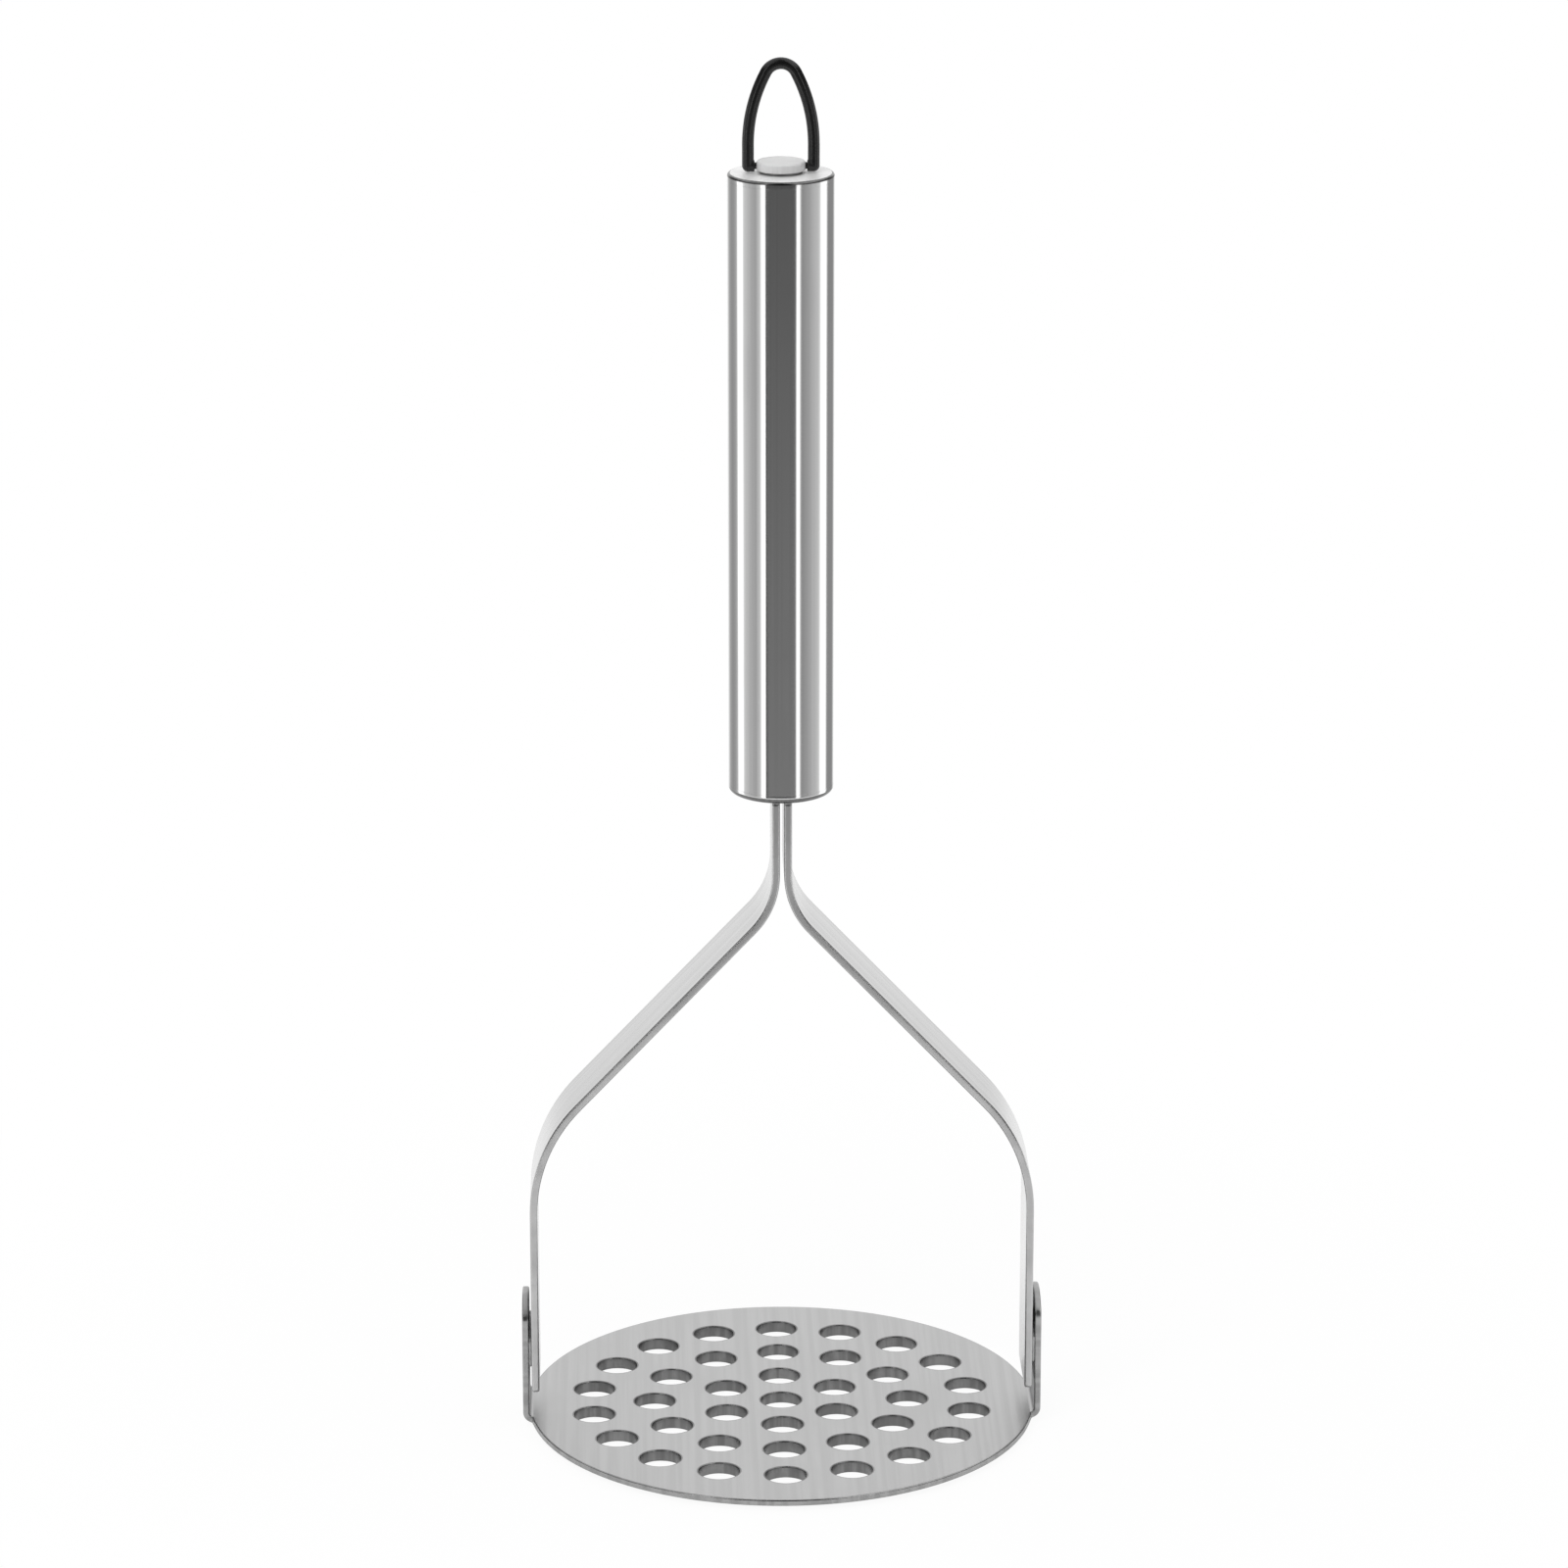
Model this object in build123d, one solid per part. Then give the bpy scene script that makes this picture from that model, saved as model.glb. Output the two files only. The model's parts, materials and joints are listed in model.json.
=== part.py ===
from build123d import *
import math
import os

# The origin is under the middle of the mashing plate, on the surface that the masher stands on.
# Z points up along the handle, X towards the right-hand leg and Y away from the viewer.
# Every height below is counted from the underside of the plate's sheet.
# The collars of the holes reach further down, so each piece is lifted by their depth when it is written.

# Mashing plate
plate_radius = 47.0
plate_thickness = 1.2
hole_radius = 3.75
hole_sides = 18
hole_rim_band = 7.85
hole_ring_count = 3
holes_added_per_ring = 6

# Collars drawn down around the holes
collar_depth = 1.0
collar_wall = 0.9
collar_sides = 12

# Upturned tabs of the plate
tab_reach = 1.1
tab_width = 14.5
tab_height = 23.6
tab_crown_radius = 11.0
tab_shoulder_round = 1.8
tab_bend_radius = 0.8
tab_edge_break = 0.25
tab_root_length = 6.0

# Legs bent from flat strip
leg_width = 16.5
leg_thickness = 1.4
leg_edge_break = 0.2
leg_pair_gap = 0.8
leg_foot_clearance = 5.2
knee_height = 53.5
neck_drop = 20.0
knee_bend_radius = 30.0
neck_bend_radius = 15.0
tang_width = 11.0
tang_length = 24.0

# Welds between the legs and the tabs
weld_gap = 0.5
weld_height = 6.3
weld_center_height = 14.0

# Handle tube
handle_radius = 9.5
handle_wall = 0.8
handle_bottom_height = 120.5
handle_length = 113.7

# Caps of the handle
cap_fit = 0.05
top_cap_thickness = 1.2
top_cap_break = 0.6
bottom_cap_thickness = 1.6
bottom_cap_break = 0.9
spigot_length = 2.5
slot_clearance = 0.1

# Boss on the top cap, which carries the hanging loop and whose shank is pressed through the cap
boss_radius = 4.35
boss_height = 2.1
boss_top_break = 0.3
shank_radius = 2.0
shank_fit = 0.02
pivot_height = 1.2
pivot_pin_radius = 0.6
pivot_pin_clearance = 0.05
pivot_pin_depth = 1.4
pivot_end_clearance = 0.15

# Hanging loop
loop_rod_radius = 1.05
loop_rod_sides = 20
loop_half_width = 5.8
loop_straight = 3.8
loop_height = 18.2
loop_crown_radius = 3.0
loop_side_gap = 0.3

# Anchor of the legs inside the handle
plug_length = 22.0
plug_fit = 0.1
tang_clearance = 0.05
cross_pin_radius = 1.5
cross_pin_clearance = 0.03
cross_pin_inset = 1.5
cross_pin_rise = 10.0

# How far every cut runs past the solid that it goes through
overrun = 1.0

# Places that follow from the sizes above
hole_ring_pitch = (plate_radius - hole_rim_band - hole_radius) / hole_ring_count
neck_height = handle_bottom_height - neck_drop
bore_radius = handle_radius - handle_wall
handle_top_height = handle_bottom_height + handle_length
tube_bottom_height = handle_bottom_height + bottom_cap_thickness
tube_top_height = handle_top_height - top_cap_thickness
spigot_radius = bore_radius - cap_fit
plug_bottom_height = tube_bottom_height + spigot_length
pivot_level = handle_top_height + pivot_height
tab_outer_face = plate_radius + tab_reach
tab_inner_face = tab_outer_face - plate_thickness
leg_outer_face = tab_inner_face - weld_gap
leg_foot_height = plate_thickness + leg_foot_clearance
leg_top_height = handle_bottom_height + tang_length
pair_inner_face = leg_pair_gap / 2
pair_outer_face = pair_inner_face + leg_thickness


def write(name, shape):
    """Lift one piece to its place above the ground and write it to its own file."""
    export_step(Pos(0, 0, collar_depth) * shape, f"parts/{name}.step")


def mirrored(shape):
    """The same piece on the other leg's side."""
    return mirror(shape, about=Plane.YZ)


def disc(radius, bottom, thickness):
    """A plain disc about Z that stands on the given height."""
    return Pos(0, 0, bottom) * extrude(Circle(radius), thickness)


def hole_places():
    """The middles of the holes: one in the centre, and rings around it that grow alike."""
    places = [(0, 0)]
    for ring in range(1, hole_ring_count + 1):
        count = holes_added_per_ring * ring
        for place in range(count):
            angle = math.tau / 4 + math.tau * place / count
            reach = hole_ring_pitch * ring
            places.append((reach * math.cos(angle), reach * math.sin(angle)))
    return places


def plate_disc():
    """The flat round of the plate, with a collar drawn down around each of its holes."""
    places = [Pos(x, y) for x, y in hole_places()]
    collar = extrude(RegularPolygon(hole_radius + collar_wall, collar_sides), -collar_depth)
    hole_length = plate_thickness + collar_depth + 2 * overrun
    hole = extrude(RegularPolygon(hole_radius, hole_sides), hole_length)
    hole = Pos(0, 0, -collar_depth - overrun) * hole
    sheet = disc(plate_radius, 0, plate_thickness) + [place * collar for place in places]
    return sheet - [place * hole for place in places]


def cross_bar(radius, half_length):
    """A round bar across the handle at the height of the cross pin."""
    bar = extrude(Plane.YZ * Circle(radius), half_length, both=True)
    return Pos(0, 0, plug_bottom_height + cross_pin_rise) * bar


def tab():
    """The right-hand tab: a tongue of the plate bent up square, with a crowned top."""
    root = tab_inner_face - tab_root_length
    section = FilletPolyline(
        (root, 0), (tab_outer_face, 0), (tab_outer_face, tab_height),
        (tab_inner_face, tab_height), (tab_inner_face, plate_thickness), (root, plate_thickness),
        radius=[0, tab_bend_radius + plate_thickness, 0, 0, tab_bend_radius, 0],
        close=True,
    )
    tongue = extrude(make_face(Plane.XZ * section), tab_width / 2, both=True)
    crown = Pos(0, tab_height - tab_crown_radius) * Circle(tab_crown_radius)
    below = Pos(0, (tab_height - tab_crown_radius) / 2) * Rectangle(tab_width, tab_height - tab_crown_radius)
    front = (crown & Rectangle(tab_width, 2 * tab_height)) + below
    shoulders = front.vertices().sort_by(Axis.Y)[-2:]
    front = fillet(shoulders, tab_shoulder_round)
    blank = tongue & extrude(Plane.YZ * front, tab_outer_face + overrun)
    rims = blank.edges().filter_by(
        lambda edge: edge.length > 2 * plate_thickness and edge.center().X > root + plate_thickness
    ).filter_by(Axis.Y, reverse=True)
    return chamfer(rims, tab_edge_break)


def leg():
    """The right-hand leg: one strip bent at the knee and the neck, narrowed to a tang at its top."""
    foot_middle = leg_outer_face - leg_thickness / 2
    pair_middle = pair_inner_face + leg_thickness / 2
    middle_line = FilletPolyline(
        (foot_middle, leg_foot_height), (foot_middle, knee_height),
        (pair_middle, neck_height), (pair_middle, leg_top_height),
        radius=[knee_bend_radius, neck_bend_radius],
    )
    section = chamfer(Rectangle(leg_thickness, leg_width).vertices(), leg_edge_break)
    strip = sweep(Pos(foot_middle, 0, leg_foot_height) * section, path=Plane.XZ * middle_line)
    shoulder = Box(
        pair_outer_face + overrun, leg_width, tang_length + overrun,
        align=(Align.MIN, Align.MIN, Align.MIN),
    )
    for side in (tang_width / 2, -tang_width / 2 - leg_width):
        strip -= Pos(0, side, handle_bottom_height) * shoulder
    return strip - cross_bar(cross_pin_radius + cross_pin_clearance, handle_radius)


def leg_weld():
    """The right-hand weld, which bridges the gap between the leg's foot and the tab."""
    pad = Rectangle(min(leg_width - 2 * leg_edge_break, tab_width - 2 * tab_edge_break), weld_height)
    return Pos(leg_outer_face, 0, weld_center_height) * extrude(Plane.YZ * pad, weld_gap)


def handle_tube():
    """The thin-walled tube of the handle."""
    length = tube_top_height - tube_bottom_height
    return disc(handle_radius, tube_bottom_height, length) - disc(bore_radius, tube_bottom_height, length)


def handle_top_cap():
    """The cap on top of the tube, with its rim broken, drilled through for the boss."""
    flange = disc(handle_radius, tube_top_height, top_cap_thickness)
    flange = chamfer(flange.edges().sort_by(Axis.Z)[-1], top_cap_break)
    spigot = disc(spigot_radius, tube_top_height - spigot_length, spigot_length)
    hole_length = spigot_length + top_cap_thickness + 2 * overrun
    hole = disc(shank_radius + shank_fit, tube_top_height - spigot_length - overrun, hole_length)
    return flange + spigot - hole


def loop_boss():
    """The low round boss on its shank, with a bearing for the loop on either side."""
    head = disc(boss_radius, handle_top_height, boss_height)
    head = chamfer(head.edges().sort_by(Axis.Z)[-1], boss_top_break)
    shank = disc(shank_radius, tube_top_height - spigot_length, spigot_length + top_cap_thickness)
    depth = pivot_pin_depth + pivot_end_clearance
    bearing = extrude(Plane.YZ * Circle(pivot_pin_radius + pivot_pin_clearance), depth + overrun)
    bearing = Pos(boss_radius - depth, 0, pivot_level) * bearing
    return head + shank - bearing - mirrored(bearing)


def handle_bottom_cap():
    """The cap under the tube, with its rim broken, slotted for the two tangs."""
    flange = disc(handle_radius, handle_bottom_height, bottom_cap_thickness)
    flange = chamfer(flange.edges().sort_by(Axis.Z)[0], bottom_cap_break)
    spigot = disc(spigot_radius, tube_bottom_height, spigot_length)
    slot = Rectangle(2 * (pair_outer_face + slot_clearance), tang_width + 2 * slot_clearance)
    slot_length = bottom_cap_thickness + spigot_length + 2 * overrun
    return flange + spigot - Pos(0, 0, handle_bottom_height - overrun) * extrude(slot, slot_length)


def anchor_plug():
    """The plug inside the tube that grips the two tangs."""
    plug = disc(bore_radius - plug_fit, plug_bottom_height, plug_length)
    slot = Rectangle(leg_thickness + 2 * tang_clearance, tang_width + 2 * tang_clearance)
    slot = Pos(pair_inner_face + leg_thickness / 2, 0, plug_bottom_height - overrun) * extrude(
        slot, plug_length + 2 * overrun
    )
    return plug - slot - mirrored(slot) - cross_bar(cross_pin_radius + cross_pin_clearance, handle_radius)


def cross_pin():
    """The pin across both tangs, which ends inside the anchor plug."""
    return cross_bar(cross_pin_radius, bore_radius - plug_fit - cross_pin_inset)


def hanging_loop():
    """The moulded loop: a round rod bent to an arch, with its feet turned in to two stub pins."""
    rise = loop_height - loop_straight - loop_crown_radius
    side_radius = (loop_half_width**2 + rise**2 - loop_crown_radius**2) / (
        2 * (loop_half_width - loop_crown_radius)
    )
    side_turn = math.degrees(math.atan2(rise, side_radius - loop_half_width))
    foot_end = boss_radius + loop_side_gap
    right = Polyline((foot_end, 0), (loop_half_width, 0), (loop_half_width, loop_straight))
    right_side = JernArc(right @ 1, (0, 1), side_radius, side_turn)
    crown = JernArc(right_side @ 1, right_side % 1, loop_crown_radius, 180 - 2 * side_turn)
    left_side = JernArc(crown @ 1, crown % 1, side_radius, side_turn)
    left = Polyline(left_side @ 1, (-loop_half_width, 0), (-foot_end, 0))
    rod = RegularPolygon(loop_rod_radius, loop_rod_sides)
    arch = sweep(
        Pos(foot_end, 0, 0) * (Plane.YZ * rod),
        path=Plane.XZ * (right + right_side + crown + left_side + left),
        transition=Transition.RIGHT,
    )
    pin_end = boss_radius - pivot_pin_depth
    pin = Pos(pin_end, 0, 0) * extrude(Plane.YZ * Circle(pivot_pin_radius), loop_half_width - pin_end)
    return Pos(0, 0, pivot_level) * (arch + pin + mirrored(pin))


os.makedirs("parts", exist_ok=True)
write("masher_plate", plate_disc() + tab() + mirrored(tab()))
write("right_leg", leg())
write("left_leg", mirrored(leg()))
write("leg_welds", Compound(children=[leg_weld(), mirrored(leg_weld())]))
write("handle_tube", handle_tube())
write("handle_top_cap", handle_top_cap())
write("loop_boss", loop_boss())
write("handle_bottom_cap", handle_bottom_cap())
write("anchor_plug", anchor_plug())
write("cross_pin", cross_pin())
write("hanging_loop", hanging_loop())
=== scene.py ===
"""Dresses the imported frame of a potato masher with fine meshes, finishes and a pale studio."""

import json
import logging
import math
from collections.abc import Callable, Sequence
from dataclasses import dataclass, field
from enum import Enum

import bmesh
import bpy
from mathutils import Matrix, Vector


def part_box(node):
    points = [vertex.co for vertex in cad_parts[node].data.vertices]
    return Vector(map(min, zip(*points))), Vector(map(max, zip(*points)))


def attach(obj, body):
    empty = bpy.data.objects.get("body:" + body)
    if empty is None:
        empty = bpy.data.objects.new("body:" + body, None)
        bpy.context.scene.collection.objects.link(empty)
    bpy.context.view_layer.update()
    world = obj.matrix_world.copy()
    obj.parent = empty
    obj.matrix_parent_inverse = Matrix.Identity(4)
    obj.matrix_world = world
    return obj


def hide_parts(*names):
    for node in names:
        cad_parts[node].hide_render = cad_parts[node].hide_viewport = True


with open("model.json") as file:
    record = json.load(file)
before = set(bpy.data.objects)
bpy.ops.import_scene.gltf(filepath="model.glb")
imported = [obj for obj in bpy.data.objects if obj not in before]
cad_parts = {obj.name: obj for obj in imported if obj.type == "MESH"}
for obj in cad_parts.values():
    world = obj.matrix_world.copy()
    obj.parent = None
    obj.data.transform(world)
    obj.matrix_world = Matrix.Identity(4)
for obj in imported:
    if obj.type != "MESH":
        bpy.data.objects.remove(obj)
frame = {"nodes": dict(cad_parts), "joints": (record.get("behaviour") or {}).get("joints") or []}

LOG = logging.getLogger("potato_masher")
MM = 0.001
QUARTER = math.pi / 2
EDGE_LAYER = "edge"
GRAIN_LAYER = "grain"
TURNED_SIDES = 128
CUT_SLACK = 1e-7
SAME_PLACE = 1e-8
STATION_DIGITS = 9
CORNER_SIGNS = ((-1, -1), (1, -1), (1, 1), (-1, 1))
MIX_INPUTS = (6, 7)
MIX_RESULT = 2

Row = list[bmesh.types.BMVert]
Section = list[tuple[float, float, float]]
Stops = tuple[tuple[float, float], ...]
Span = tuple[float, float]


class Body(Enum):
    """The two bodies of the frame that the pieces ride on."""

    MASHER = "masher"
    LOOP = "loop"


class Slot(Enum):
    """The material slots of the record that the finishes stand for."""

    SATIN = "satin_steel"
    STRIP = "strip_steel"
    POLISHED = "polished_steel"
    PLUG = "plug_plastic"
    BLACK = "black_plastic"


# Lines and outlines


@dataclass(frozen=True)
class Run:
    """One stretch of a route: its length, and how far it turns to the left, in radians."""

    length: float
    turn: float = 0.0


@dataclass
class Route:
    """A line of straights and arcs in one plane, walked by its length."""

    start: Vector
    heading: float
    runs: list[Run] = field(default_factory=list)

    @classmethod
    def through(cls, corners: Sequence[Vector], radii: Sequence[float]) -> "Route":
        """Make a route along a line of corners, with an arc round each inner one.

        Args:
            corners: The corners, with the two ends.
            radii: The radius of the arc at each inner corner.

        Returns:
            The route, which ends at the last corner.
        """
        legs = [after - before for before, after in zip(corners, corners[1:])]
        headings = [math.atan2(leg.y, leg.x) for leg in legs]
        turns = [after - before for before, after in zip(headings, headings[1:])]
        trims = [0.0, *(r * math.tan(abs(turn) / 2) for r, turn in zip(radii, turns)), 0.0]
        runs = []
        for index, leg in enumerate(legs):
            runs.append(Run(leg.length - trims[index] - trims[index + 1]))
            if index < len(turns):
                runs.append(Run(radii[index] * abs(turns[index]), turns[index]))
        return cls(corners[0], headings[0], runs)

    @property
    def length(self) -> float:
        """Return the whole length."""
        return sum(run.length for run in self.runs)

    def at(self, distance: float) -> tuple[Vector, Vector]:
        """Find a place on the route.

        Args:
            distance: How far along the route the place is.

        Returns:
            The point, and the unit vector to the left of the way there.
        """
        here, heading = self.start.copy(), self.heading
        for run in self.runs:
            step = min(distance, run.length)
            turned = run.turn * step / run.length
            if run.turn:
                radius = run.length / run.turn
                here.x += radius * (math.sin(heading + turned) - math.sin(heading))
                here.y += radius * (math.cos(heading) - math.cos(heading + turned))
            else:
                here += step * Vector((math.cos(heading), math.sin(heading)))
            heading += turned
            distance -= step
            if distance <= 0:
                break
        return here, Vector((-math.sin(heading), math.cos(heading)))

    def stations(self, step_turn: float, guard: float = 0.0) -> list[float]:
        """List the distances where the line has to be divided to follow its arcs.

        Args:
            step_turn: The largest turn between two stations.
            guard: How far outside each arc one more station stands, if at all.

        Returns:
            The distances, from the first end to the last.
        """
        found, passed = [0.0], 0.0
        for run in self.runs:
            if run.turn:
                steps = math.ceil(abs(run.turn) / step_turn)
                found += [passed + run.length * step / steps for step in range(steps + 1)]
                if guard:
                    found += [passed - guard, passed + run.length + guard]
            passed += run.length
        inside = [place for place in found if 0 <= place < passed]
        return sorted({round(place, STATION_DIGITS) for place in (*inside, passed)})


def arc(center: Vector, radius: float, start: float, end: float, steps: int) -> list[Vector]:
    """List the points of an arc in a plane.

    Args:
        center: The middle of the arc.
        radius: Its radius.
        start: The angle of its first point, in radians.
        end: The angle of its last point.
        steps: How many equal parts it has.

    Returns:
        The points, both ends among them.
    """
    angles = [start + (end - start) * step / steps for step in range(steps + 1)]
    return [center + radius * Vector((math.cos(a), math.sin(a))) for a in angles]


def eased(corners: Sequence[Sequence[float]], closed: bool, steps: int = 5) -> Section:
    """Round the corners of an outline.

    Args:
        corners: The x, y and rounding radius of each corner.
        closed: Whether the last corner joins the first.
        steps: How many parts each rounding has.

    Returns:
        The x and y of each point, and how much it belongs to a worn edge, from 0 to 1.
    """
    made: Section = []
    for index, (x, y, radius) in enumerate(corners):
        here = Vector((x, y))
        if not radius or not closed and index in (0, len(corners) - 1):
            made.append((x, y, 0.0))
            continue
        back = (Vector(corners[index - 1][:2]) - here).normalized()
        ahead = (Vector(corners[(index + 1) % len(corners)][:2]) - here).normalized()
        half = back.angle(ahead) / 2
        center = here + (back + ahead).normalized() * radius / math.sin(half)
        first = here + back * radius / math.tan(half) - center
        last = here + ahead * radius / math.tan(half) - center
        whole = first.angle(last)
        for step in range(steps + 1):
            share = step / steps
            spoke = math.sin((1 - share) * whole) * first + math.sin(share * whole) * last
            made.append((*(center + spoke / math.sin(whole)), math.sin(math.pi * share)))
    return made


# Meshes


def new_mesh() -> bmesh.types.BMesh:
    """Return an empty mesh that can hold worn edges and the direction of the grain."""
    bm = bmesh.new()
    bm.verts.layers.float.new(EDGE_LAYER)
    bm.loops.layers.uv.new(GRAIN_LAYER)
    return bm


def add_row(bm: bmesh.types.BMesh, points: Sequence[Vector], wear: float = 0.0) -> Row:
    """Add one row of points.

    Args:
        bm: The mesh that they go into.
        points: The places, in metres.
        wear: How much the row belongs to a worn edge, from 0 to 1.

    Returns:
        The new vertices.
    """
    edge = bm.verts.layers.float[EDGE_LAYER]
    row = [bm.verts.new(point) for point in points]
    for vert in row:
        vert[edge] = wear
    return row


def skin(bm: bmesh.types.BMesh, rows: Sequence[Row], across: float, closed: bool = False) -> None:
    """Join rows of points, each of which is a ring, with four-sided faces.

    Args:
        bm: The mesh that holds the rows.
        rows: The rings, one after another.
        across: The length round a ring, on which the grain is laid out.
        closed: Whether the last ring joins the first.
    """
    grain = bm.loops.layers.uv[GRAIN_LAYER]
    along = 0.0
    pairs = list(zip(rows, rows[1:]))
    if closed:
        pairs.append((rows[-1], rows[0]))
    for low, high in pairs:
        rise = (low[0].co - high[0].co).length
        count = len(low)
        for index in range(count):
            after = (index + 1) % count
            face = bm.faces.new((low[index], low[after], high[after], high[index]))
            spots = ((index, 0), (index + 1, 0), (index + 1, rise), (index, rise))
            for loop, (place, lift) in zip(face.loops, spots):
                loop[grain].uv = (across * place / count, along + lift)
        along += rise


def ring_edges(bm: bmesh.types.BMesh, row: Row) -> list[bmesh.types.BMEdge]:
    """Return the edges between the neighbours of a closed row."""
    return [bm.edges.get((row[i - 1], row[i])) for i in range(len(row))]


@dataclass
class Finisher:
    """Turns a finished mesh into a piece that rides on its body."""

    crease: float = math.radians(38)

    def place(
        self,
        bm: bmesh.types.BMesh,
        name: str,
        materials: Sequence[bpy.types.Material],
        body: Body,
        slot: Slot,
        *nodes: str,
    ) -> bpy.types.Object:
        """Make the object, dress it, and let it stand for its nodes of the frame.

        Args:
            bm: The mesh, in metres, which is freed.
            name: The name of the piece.
            materials: The finishes, in the order of the numbers that the faces carry.
            body: The body that it rides on.
            slot: The record's slot that the finish comes from; not used.
            nodes: The nodes that it stands for.

        Returns:
            The new object.
        """
        bmesh.ops.recalc_face_normals(bm, faces=bm.faces)
        for face in bm.faces:
            face.smooth = True
        for edge in bm.edges:
            edge.smooth = len(edge.link_faces) == 2 and edge.calc_face_angle(0.0) < self.crease
        mesh = bpy.data.meshes.new(name)
        bm.to_mesh(mesh)
        bm.free()
        for material in materials:
            mesh.materials.append(material)
        piece = bpy.data.objects.new(name, mesh)
        bpy.context.scene.collection.objects.link(piece)
        weighted = piece.modifiers.new("even_shading", "WEIGHTED_NORMAL")
        weighted.keep_sharp = True
        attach(piece, body.value)
        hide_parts(*nodes)
        LOG.info("%s: %d faces, rides on %s, stands for %s", name, len(mesh.polygons), body.value, nodes)
        return piece


@dataclass
class Blank:
    """A flat blank of sheet metal, pierced and with its edges eased, before it is bent.

    Attributes:
        outline: The points round the blank, turning left.
        thickness: The thickness of the sheet.
        edge_round: The rounding of the outer edges.
        holes: The x and y of each hole.
        hole_profile: The radius, height and wear of a hole's wall, from the lower face to the upper one.
        hole_steps: How many sides a hole has.
        round_steps: How many parts a rounding has.
    """

    outline: list[Vector]
    thickness: float
    edge_round: float
    holes: list[tuple[float, float]] = field(default_factory=list)
    hole_profile: Section = field(default_factory=list)
    hole_steps: int = 60
    round_steps: int = 5

    def section(self) -> Section:
        """List the inset, height and wear of the outer edge, from the lower face to the upper one."""
        ease = self.edge_round
        inset = 2 * ease
        corners = [(inset, 0, 0), (0, 0, ease), (0, self.thickness, ease), (inset, self.thickness, 0)]
        return eased(corners, False, self.round_steps)[1:-1]

    def inward(self) -> list[Vector]:
        """Return the unit vectors from the points of the outline into the sheet."""
        count = len(self.outline)
        found = []
        for index, point in enumerate(self.outline):
            before = (point - self.outline[index - 1]).normalized()
            after = (self.outline[(index + 1) % count] - point).normalized()
            way = (before + after).normalized()
            found.append(Vector((-way.y, way.x)))
        return found

    def build(self) -> bmesh.types.BMesh:
        """Return the flat blank, whose lower face is at height 0.

        Its faces carry 0, the walls round its outline 1 and the walls of its holes 2.
        """
        bm = new_mesh()
        lows: list[bmesh.types.BMEdge] = []
        highs: list[bmesh.types.BMEdge] = []

        def wall(rows: list[Row]) -> None:
            skin(bm, rows, 0.0)
            lows.extend(ring_edges(bm, rows[0]))
            highs.extend(ring_edges(bm, rows[-1]))

        inward = self.inward()
        rows = []
        for inset, height, wear in self.section():
            points = [p + inset * n for p, n in zip(self.outline, inward)]
            rows.append(add_row(bm, [(*p, height) for p in points], wear))
        wall(rows)
        outer_faces = len(bm.faces)
        for hole in self.holes:
            wall(add_rings(bm, self.hole_profile, self.hole_steps, hole))
        for index, face in enumerate(bm.faces):
            face.material_index = 1 if index < outer_faces else 2
        for edges in (lows, highs):
            bmesh.ops.triangle_fill(bm, use_beauty=True, edges=edges)
        grain = bm.loops.layers.uv[GRAIN_LAYER]
        for face in bm.faces:
            for loop in face.loops:
                loop[grain].uv = loop.vert.co.xy
        return bm


def cut_across(bm: bmesh.types.BMesh, places: Sequence[float]) -> None:
    """Divide a flat blank along lines of constant x, so that it can be bent there.

    Args:
        bm: The flat blank.
        places: The x of each line.
    """
    for x in places:
        everything = [*bm.verts, *bm.edges, *bm.faces]
        bmesh.ops.bisect_plane(
            bm, geom=everything, plane_co=(x, 0, 0), plane_no=(1, 0, 0), dist=CUT_SLACK
        )


def move_points(bm: bmesh.types.BMesh, place: Callable[[Vector], Vector]) -> None:
    """Move every point of a mesh to where a function puts it."""
    for vert in bm.verts:
        vert.co = place(vert.co)


def add_rings(
    bm: bmesh.types.BMesh, outline: Section, sides: int, center: Sequence[float] = (0.0, 0.0)
) -> list[Row]:
    """Add a ring of points for each point of an outline, but for those on the axis.

    Args:
        bm: The mesh that they go into.
        outline: The radius, height and wear of each point of the outline.
        sides: How many points a ring has.
        center: The x and y of the axis.

    Returns:
        The new rings.
    """
    rows = []
    for radius, height, wear in outline:
        if radius:
            points = arc(Vector(center), radius, 0, math.tau, sides)[:-1]
            rows.append(add_row(bm, [(*p, height) for p in points], wear))
    return rows


def turned(outline: Section, closed: bool) -> bmesh.types.BMesh:
    """Turn a piece about the handle's axis.

    Args:
        outline: The radius, height and wear of each point of the outline.
        closed: Whether the outline is a ring of its own, as a tube's is.

    Returns:
        The turned mesh.
    """
    bm = new_mesh()
    rows = add_rings(bm, outline, TURNED_SIDES)
    skin(bm, rows, math.tau * max(radius for radius, _, _ in outline), closed)
    if not closed:
        for row in (rows[0], rows[-1]):
            bm.faces.new(row)
    return bm


# Finishes


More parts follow.
